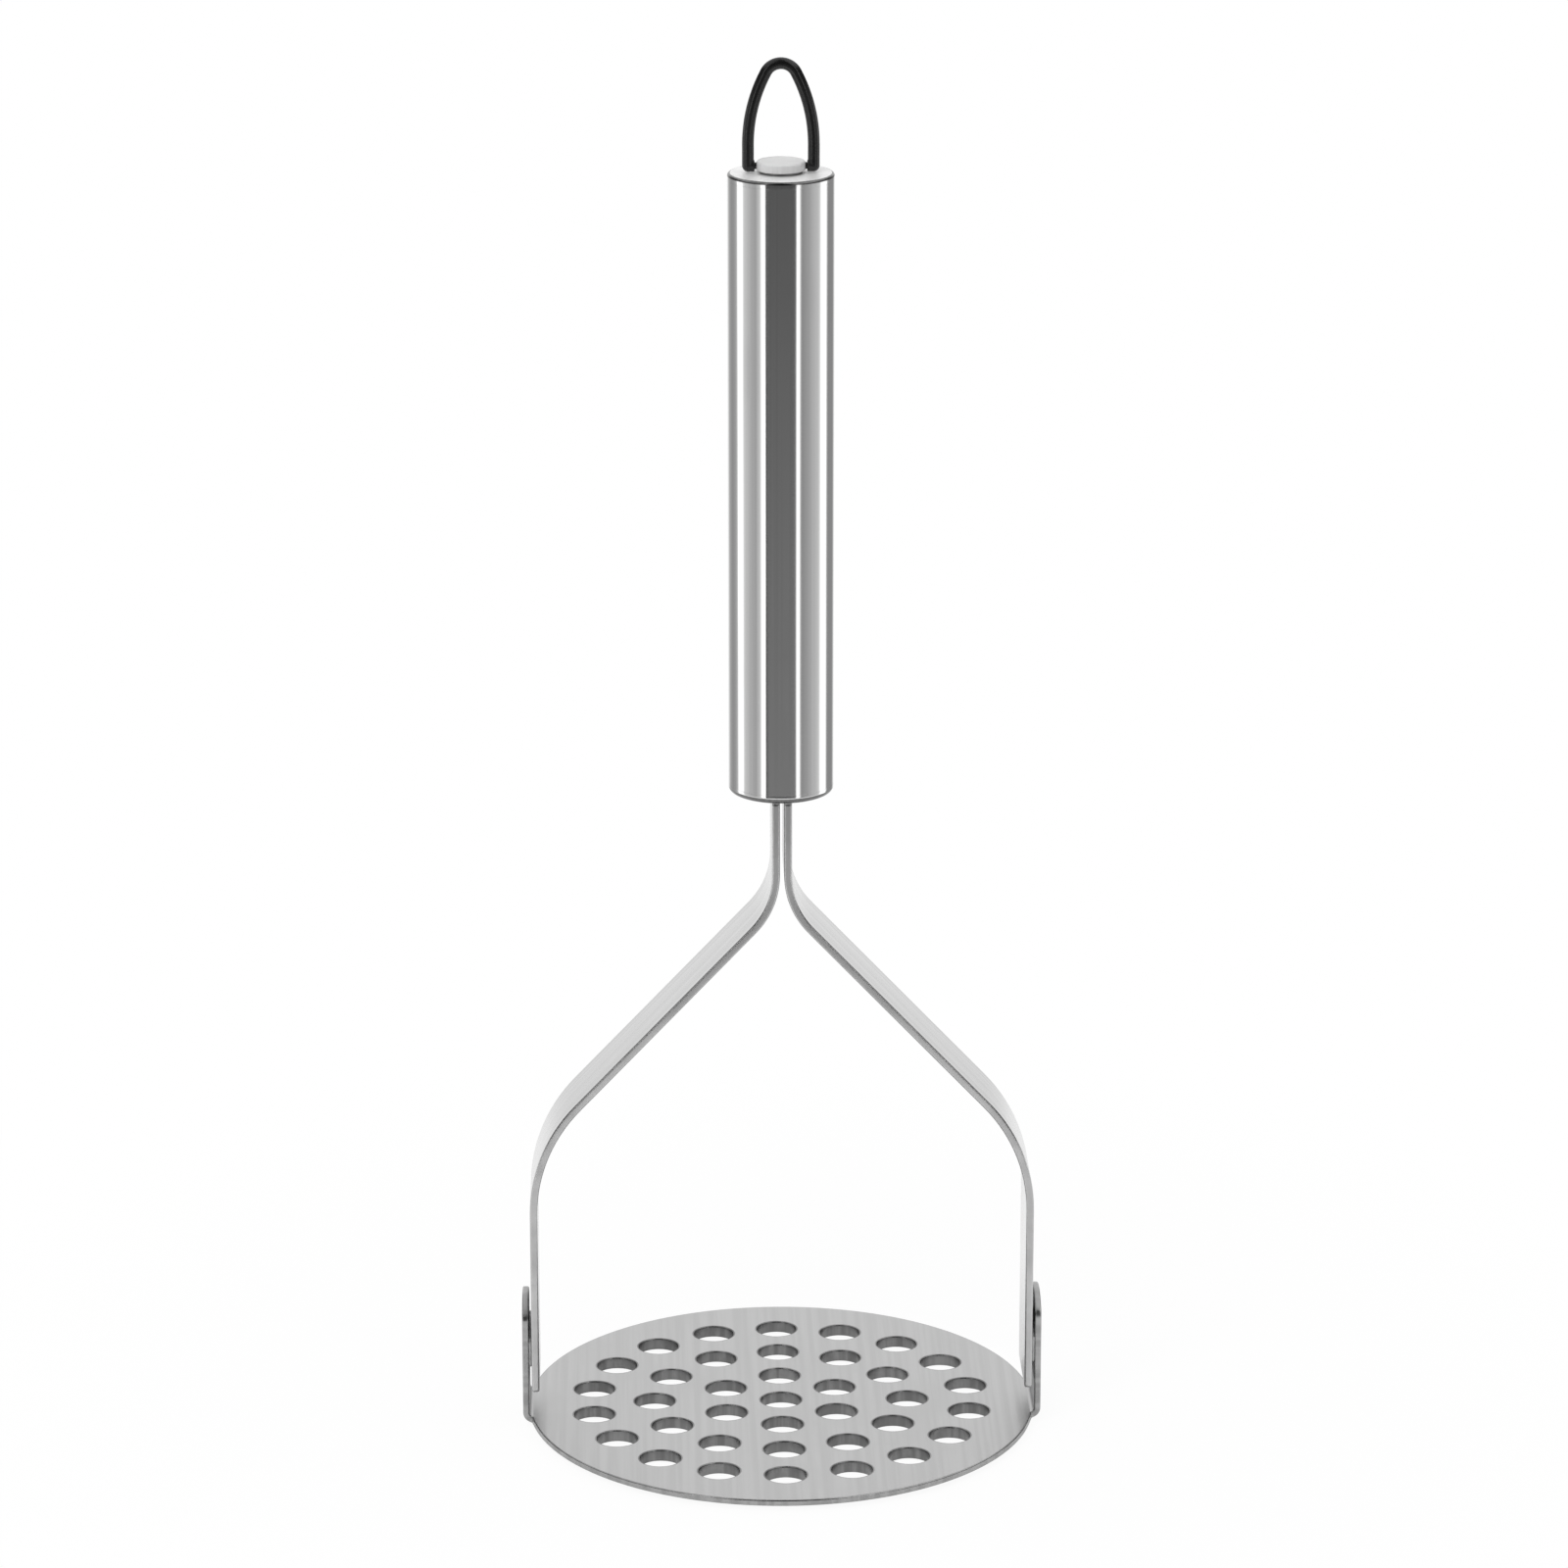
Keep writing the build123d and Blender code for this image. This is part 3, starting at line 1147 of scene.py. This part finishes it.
@dataclass
class Handle:
    """The tube of the handle with its two caps, and the plug and pin inside it."""

    finishes: Finishes
    finisher: Finisher
    wall: float = 0.8 * MM
    seam_round: float = 0.03 * MM
    shoulder_reach: float = 0.6 * MM
    shoulder_drop: float = 0.5 * MM
    shoulder_steps: int = 8
    bottom_round: float = 1.0 * MM
    spigot_round: float = 0.3 * MM
    cap_fit: float = 0.05 * MM
    tang_fit: float = 0.1 * MM
    tang_thickness: float = 1.4 * MM
    slot_half_width: float = 5.6 * MM
    slot_round: float = 0.4 * MM
    shank_radius: float = 2.02 * MM

    def tube(self) -> bpy.types.Object:
        """Build the tube and return it."""
        low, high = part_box("handle_tube")
        outer, inner, ease = high.x, high.x - self.wall, self.seam_round
        corners = [(outer, low.z, ease), (outer, high.z, ease), (inner, high.z, ease), (inner, low.z, ease)]
        return self.finisher.place(
            turned(eased(corners, True), True), "dressed_tube", (self.finishes.handle,), Body.MASHER,
            Slot.POLISHED, "handle_tube",
        )

    def top_cap(self) -> bpy.types.Object:
        """Build the cap on top, with its rounded shoulder, and return it."""
        low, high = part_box("handle_top_cap")
        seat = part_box("handle_tube")[1].z
        spigot = high.x - self.wall - self.cap_fit
        corners = [
            (self.shank_radius, low.z, 0), (spigot, low.z, self.spigot_round), (spigot, seat, 0),
            (high.x, seat, self.seam_round),
        ]
        outline = eased(corners, False)
        crest = high.x - self.shoulder_reach
        for step in range(self.shoulder_steps + 1):
            turn = QUARTER * (1 - step / self.shoulder_steps)
            drop = self.shoulder_drop * (1 - math.cos(turn))
            outline.append((crest + self.shoulder_reach * math.sin(turn), high.z - drop, 0.0))
        outline.append((self.shank_radius, high.z, 0.0))
        bm = turned(outline, True)
        # The top face gets the matt cap face; the rounded shoulder gets the dark finish, a painted dark
        # reflection
        for face in bm.faces:
            middle = face.calc_center_median()
            if all(vert.co.z > high.z - self.seam_round for vert in face.verts):
                face.material_index = 1
            elif middle.z > high.z - self.shoulder_drop and middle.xy.length > crest:
                face.material_index = 2
        materials = (self.finishes.handle, self.finishes.cap_face, self.finishes.painted_shade_steel)
        return self.finisher.place(
            bm, "dressed_top_cap", materials, Body.MASHER, Slot.POLISHED, "handle_top_cap"
        )

    def bottom_cap(self) -> bpy.types.Object:
        """Build the cap underneath, slotted for the two tangs, and return it."""
        low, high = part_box("handle_bottom_cap")
        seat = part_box("handle_tube")[0].z
        spigot = high.x - self.wall - self.cap_fit
        slot_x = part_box("right_leg")[0].x + self.tang_thickness + self.tang_fit
        slot_y = self.slot_half_width
        corners = [
            (spigot, high.z, self.spigot_round), (spigot, seat, 0), (high.x, seat, self.seam_round),
            (high.x, low.z, self.bottom_round), (spigot / 2, low.z, 0),
        ]
        bm = new_mesh()
        rows = add_rings(bm, eased(corners, False)[:-1], TURNED_SIDES)
        skin(bm, rows, math.tau * high.x)
        slot = eased([(x * slot_x, y * slot_y, self.slot_round) for x, y in CORNER_SIGNS], True)
        # The lower rounding gets the dark finish: a painted dark reflection
        for face in bm.faces:
            if face.calc_center_median().z < low.z + self.bottom_round:
                face.material_index = 1
        walls = [add_row(bm, [(x, y, z) for x, y, _ in slot]) for z in (low.z, high.z)]
        skin(bm, walls, 0.0)
        for outer_row, inner_row in ((rows[-1], walls[0]), (rows[0], walls[1])):
            edges = ring_edges(bm, outer_row) + ring_edges(bm, inner_row)
            bmesh.ops.triangle_fill(bm, use_beauty=True, edges=edges)
        materials = (self.finishes.handle, self.finishes.painted_shade_steel)
        return self.finisher.place(
            bm, "dressed_bottom_cap", materials, Body.MASHER, Slot.POLISHED, "handle_bottom_cap"
        )

    def dress_inside(self) -> None:
        """Give the plug and the pin inside the tube their own finishes."""
        for node, material, slot in (
            ("anchor_plug", self.finishes.plug, Slot.PLUG),
            ("cross_pin", self.finishes.strip, Slot.STRIP),
        ):
            piece = frame["nodes"][node]
            piece.data.materials.clear()
            piece.data.materials.append(material)
            LOG.info("%s keeps its own shape", node)

    def build(self) -> None:
        """Build the tube and the caps, and dress what they hold."""
        self.tube()
        self.top_cap()
        self.bottom_cap()
        self.dress_inside()


@dataclass
class HangingLoop:
    """The boss on the handle and the loop that swings on it."""

    finishes: Finishes
    finisher: Finisher
    shank_radius: float = 2.0 * MM
    boss_top_round: float = 0.4 * MM
    boss_foot_round: float = 0.1 * MM
    neck_height: float = 0.5 * MM
    neck_depth: float = 0.5 * MM
    rod_radius: float = 1.05 * MM
    pin_radius: float = 0.6 * MM
    pin_depth: float = 1.4 * MM
    half_width: float = 5.8 * MM
    straight: float = 3.8 * MM
    crown_radius: float = 3.0 * MM
    side_gap: float = 0.3 * MM
    ease: float = 0.1 * MM
    sides: int = 32
    elbow_steps: int = 8
    step_turn: float = math.radians(2.5)

    def __post_init__(self) -> None:
        """Read the pivot and the height of the loop from the frame."""
        self.pivot = Vector(frame["joints"][0]["pos_m"])
        self.crown_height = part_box("hanging_loop")[1].z - self.rod_radius - self.pivot.z

    def boss(self) -> bpy.types.Object:
        """Build the boss and return it."""
        low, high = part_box("loop_boss")
        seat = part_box("handle_top_cap")[1].z
        neck, shelf = high.x - self.neck_depth, seat + self.neck_height
        corners = [
            (0, low.z, 0), (self.shank_radius, low.z, 0), (self.shank_radius, seat, 0),
            (neck, seat, 0), (neck, shelf, 0), (high.x, shelf, self.boss_foot_round),
            (high.x, high.z, self.boss_top_round), (0, high.z, 0),
        ]
        bm = turned(eased(corners, False), False)
        # The neck groove under the boss and the shank get the dark finish: painted shade
        for face in bm.faces:
            if face.calc_center_median().z < shelf:
                face.material_index = 1
        materials = (self.finishes.boss, self.finishes.painted_shade_steel)
        return self.finisher.place(bm, "dressed_boss", materials, Body.MASHER, Slot.SATIN, "loop_boss")

    def route(self) -> Route:
        """Return the middle line of the loop, from the right foot over the crown to the left one."""
        rise = self.crown_height - self.straight - self.crown_radius
        radius = (self.half_width**2 + rise**2 - self.crown_radius**2) / (
            2 * (self.half_width - self.crown_radius)
        )
        turn = math.atan2(rise, radius - self.half_width)
        crown = math.pi - 2 * turn
        side = Run(radius * turn, turn)
        runs = [Run(self.straight), side, Run(self.crown_radius * crown, crown), side, Run(self.straight)]
        return Route(Vector((self.half_width, 0)), QUARTER, runs)

    def rings(self) -> list[tuple[list[Vector], float]]:
        """Return the rings of points of the right half's foot and of the arch, each with its wear."""
        angles = [math.tau * step / self.sides for step in range(self.sides)]
        boss_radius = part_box("loop_boss")[1].x
        pin_end, foot = boss_radius - self.pin_depth, boss_radius + self.side_gap
        stub = [
            (pin_end, self.pin_radius - self.ease, 0.0), (pin_end + self.ease, self.pin_radius, 1.0),
            (foot, self.pin_radius, 0.0), (foot, self.rod_radius - self.ease, 0.0),
            (foot + self.ease, self.rod_radius, 1.0),
        ]
        feet = [
            ([Vector((x, r * math.sin(a), -r * math.cos(a))) for a in angles], wear) for x, r, wear in stub
        ]
        for step in range(self.elbow_steps + 1):
            turn = QUARTER * (1 - step / self.elbow_steps)
            ring = []
            for a in angles:
                reach = self.rod_radius * math.cos(a)
                right, up = (math.cos(turn), -math.sin(turn)) if reach > 0 else (1, -1)
                x, y = self.half_width + reach * right, self.rod_radius * math.sin(a)
                ring.append(Vector((x, y, reach * up)))
            feet.append((ring, 0.0))
        route = self.route()
        arch = []
        for distance in route.stations(self.step_turn)[1:-1]:
            here, left = route.at(distance)
            ring = []
            for a in angles:
                spot = here - left * self.rod_radius * math.cos(a)
                ring.append(Vector((spot.x, self.rod_radius * math.sin(a), spot.y)))
            arch.append((ring, 0.0))
        others = [([Vector((-p.x, p.y, p.z)) for p in ring], wear) for ring, wear in reversed(feet)]
        return feet + arch + others

    def loop(self) -> bpy.types.Object:
        """Build the loop with its two stub pins and return it."""
        bm = new_mesh()
        rows = []
        for ring, wear in self.rings():
            rows.append(add_row(bm, [self.pivot + point for point in ring], wear))
        skin(bm, rows, math.tau * self.rod_radius)
        for row in (rows[0], rows[-1]):
            bm.faces.new(row)
        bmesh.ops.remove_doubles(bm, verts=bm.verts, dist=SAME_PLACE)
        return self.finisher.place(
            bm, "dressed_loop", (self.finishes.loop,), Body.LOOP, Slot.BLACK, "hanging_loop"
        )

    def build(self) -> None:
        """Build the boss and the loop."""
        self.boss()
        self.loop()


# Studio


@dataclass
class Studio:
    """The pale floor, the soft lights and the camera.

    Attributes:
        levels: The brightness of the walls by compass direction, in degrees from the front and to the
            right, at the horizon and below, low above it, and higher up.
        steps: The heights, in degrees, between which each level gives way to the next.
        gloom_front: How much a direction points to the front, as shares, where the gloom starts and
            where it is whole.
        gloom_heights: The heights, in degrees, between which that gloom grows.
        gloom_shares: How much it takes away at these heights, where less than nothing adds.
        floor_radius: Where the floor has faded into the background.
        floor_drop: How far the floor lies under the plate, so that the two don't touch.
        lift: How much of the floor's white is its own, next to the masher.
        lift_shares: The shares of the floor's radius between which that grows to all of it.
        shade: The same in reflections, under the plate, where the floor lies in its shadow.
        shade_shares: The shares of the radius between which that shadow ends.
        lamp_aim: The place that the lamp looks at.
    """

    camera_place: tuple[float, float, float] = (-0.027146, -1.077055, 0.449753)
    camera_pitch: float = math.radians(16.893)
    camera_heading: float = math.radians(-1.473)
    camera_lens: float = 142.47
    camera_clip: Span = (0.01, 20.0)
    levels: tuple[Stops, ...] = (
        (
            (-180, 1.0), (-161, 0.95), (-152, 0.55), (-134, 0.37), (-119, 0.44), (-111, 0.7), (-108, 1.7),
            (-94, 1.7), (-89, 0.85), (-77, 0.65), (-58, 0.48), (-47, 0.78), (-43, 1.9), (-36, 1.9),
            (-34, 0.02), (-30, 0.2), (28, 0.2), (31, 0.34), (34, 1.9), (38, 1.9), (43, 0.34), (58, 0.45),
            (88, 0.76), (92, 1.0), (95, 1.7), (113, 1.7), (117, 0.56), (122, 0.33), (147, 0.33),
            (156, 0.6), (161, 0.95),
        ),
        (
            (-180, 1.0), (-158, 1.0), (-140, 0.1), (-45, 0.04), (-42, 1.9), (-36, 1.9), (-33, 0.03),
            (31, 0.03), (34, 1.9), (40, 1.9), (43, 0.04), (140, 0.1), (158, 1.0),
        ),
        (
            (-180, 1.0), (-110, 0.9), (-75, 0.65), (-47, 0.6), (-43, 1.6), (-36, 1.6), (-32, 0.02),
            (30, 0.02), (34, 1.6), (41, 1.6), (45, 0.8), (75, 1.2), (110, 1.0),
        ),
    )
    steps: Stops = ((1, 9), (25, 36))
    gloom_front: Span = (0.82, 0.86)
    gloom_heights: Span = (-19, -9)
    gloom_shares: Span = (-0.35, 0.5)
    floor_radius: float = 0.32
    floor_tint: float = 0.86
    floor_sides: int = 96
    floor_drop: float = 0.02 * MM
    lift: float = 0.94
    lift_shares: Span = (0.2, 0.7)
    shade: float = 0.25
    shade_shares: Span = (0.15, 0.28)
    lamp_place: tuple[float, float, float] = (-0.25, -0.55, 0.85)
    lamp_aim: tuple[float, float, float] = (0.0, 0.0, 0.1)
    lamp_size: float = 0.6
    lamp_power: float = 5.5

    def camera(self) -> None:
        """Set the camera where the photograph was taken from."""
        data = bpy.data.cameras.new("studio_camera")
        data.lens = self.camera_lens
        data.clip_start, data.clip_end = self.camera_clip
        camera = bpy.data.objects.new("studio_camera", data)
        camera.location = self.camera_place
        camera.rotation_euler = (QUARTER - self.camera_pitch, 0.0, self.camera_heading)
        bpy.context.scene.collection.objects.link(camera)
        bpy.context.scene.camera = camera

    @staticmethod
    def bands(sheet: NodeTree, share: bpy.types.NodeSocket, stops: Stops) -> bpy.types.NodeSocket:
        """Add a ramp of brightness by compass direction.

        Args:
            sheet: The node tree.
            share: The direction, from 0 to 1 for the whole turn.
            stops: The degrees and brightness of each stop.

        Returns:
            The brightness.
        """
        middle, whole_turn = 0.5, 360
        ramp = sheet.add("ValToRGB")
        sheet.link(share, ramp.inputs["Fac"])
        found = ramp.color_ramp.elements
        while len(found) > 1:
            found.remove(found[-1])
        for index, (degrees, value) in enumerate(stops):
            place = middle + degrees / whole_turn
            stop = found.new(place) if index else found[0]
            stop.position = place
            stop.color = (value, value, value, 1.0)
        return ramp.outputs["Color"]

    def walls(self) -> None:
        """Paint the world: white where it is looked at, and the studio's walls in reflections."""
        world = bpy.data.worlds.new("studio_walls")
        bpy.context.scene.world = world
        world.use_nodes = True
        sheet = NodeTree(world.node_tree)
        world.node_tree.nodes.clear()
        way = sheet.add("TexCoord")
        split = sheet.add("SeparateXYZ")
        sheet.link(way.outputs["Generated"], split.inputs["Vector"])
        away = sheet.math("MULTIPLY", split.outputs["Y"], -1.0)
        compass = sheet.math("ARCTAN2", split.outputs["X"], away)
        share = sheet.math("MULTIPLY_ADD", compass, 1 / math.tau)
        share.node.inputs[2].default_value = 0.5
        height = sheet.math("ARCSINE", split.outputs["Z"])
        color = self.bands(sheet, share, self.levels[0])
        for stops, span in zip(self.levels[1:], self.steps):
            rise = sheet.ramp(height, *map(math.radians, span), 0.0, 1.0)
            color = sheet.mix(rise, color, self.bands(sheet, share, stops))
        nearness = sheet.ramp(away, *self.gloom_front, 0.0, 1.0)
        gloom = sheet.ramp(height, *map(math.radians, self.gloom_heights), *self.gloom_shares)
        kept = sheet.math("SUBTRACT", 1.0, sheet.math("MULTIPLY", nearness, gloom))
        dimmed = sheet.add("VectorMath", operation="SCALE")
        sheet.link(color, dimmed.inputs[0])
        sheet.link(kept, dimmed.inputs["Scale"])
        studio = sheet.add("Background")
        sheet.link(dimmed.outputs["Vector"], studio.inputs["Color"])
        white = sheet.add("Background")
        white.inputs["Color"].default_value = (1.0, 1.0, 1.0, 1.0)
        rays = sheet.add("LightPath")
        sheet.choose(rays.outputs["Is Camera Ray"], studio, white, "OutputWorld")

    def floor(self) -> None:
        """Lay a round pale floor, which keeps the shadow and fades into the white background."""
        bm = bmesh.new()
        points = arc(Vector((0, 0)), self.floor_radius, 0, math.tau, self.floor_sides)[:-1]
        bm.faces.new([bm.verts.new((*p, -self.floor_drop)) for p in points])
        mesh = bpy.data.meshes.new("pale_floor")
        bm.to_mesh(mesh)
        bm.free()
        floor = bpy.data.objects.new("pale_floor", mesh)
        bpy.context.scene.collection.objects.link(floor)
        material = bpy.data.materials.new("pale_floor")
        material.use_nodes = True
        mesh.materials.append(material)
        sheet = NodeTree(material.node_tree)
        material.node_tree.nodes.clear()
        place = sheet.add("TexCoord")
        length = sheet.add("VectorMath", operation="LENGTH")
        sheet.link(place.outputs["Object"], length.inputs[0])
        distance = sheet.math("DIVIDE", length.outputs["Value"], self.floor_radius)
        fade = sheet.ramp(distance, *self.lift_shares, self.lift, 1.0)
        mirrored = sheet.ramp(distance, *self.shade_shares, self.shade, 1.0)
        rays = sheet.add("LightPath")
        seen = sheet.math("MULTIPLY", fade, rays.outputs["Is Camera Ray"])
        shown = sheet.math("MULTIPLY", mirrored, rays.outputs["Is Glossy Ray"])
        diffuse = sheet.add("BsdfDiffuse")
        diffuse.inputs["Color"].default_value = (*[self.floor_tint] * 3, 1.0)
        white = sheet.add("Emission")
        sheet.choose(sheet.math("MAXIMUM", seen, shown), diffuse, white, "OutputMaterial")

    def lamps(self) -> None:
        """Hang one large soft lamp high up in front, which shows in no reflection."""
        data = bpy.data.lights.new("overhead_softbox", "AREA")
        data.shape = "SQUARE"
        data.size = self.lamp_size
        data.energy = self.lamp_power
        lamp = bpy.data.objects.new("overhead_softbox", data)
        lamp.location = self.lamp_place
        lamp.visible_glossy = False
        way = Vector(self.lamp_aim) - Vector(self.lamp_place)
        lamp.rotation_euler = way.to_track_quat("-Z", "Y").to_euler()
        bpy.context.scene.collection.objects.link(lamp)

    def build(self) -> None:
        """Build the whole studio."""
        self.camera()
        self.walls()
        self.floor()
        self.lamps()
        bpy.context.scene.view_settings.view_transform = "Standard"


def main() -> None:
    """Dress the masher and light it."""
    logging.basicConfig(level=logging.INFO, format="%(message)s")
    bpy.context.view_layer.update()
    finishes = Finishes(Effects())
    finisher = Finisher()
    MashingPlate(finishes, finisher).build()
    Frame(finishes, finisher).build()
    Handle(finishes, finisher).build()
    HangingLoop(finishes, finisher).build()
    Studio().build()


if __name__ == "__main__":
    main()
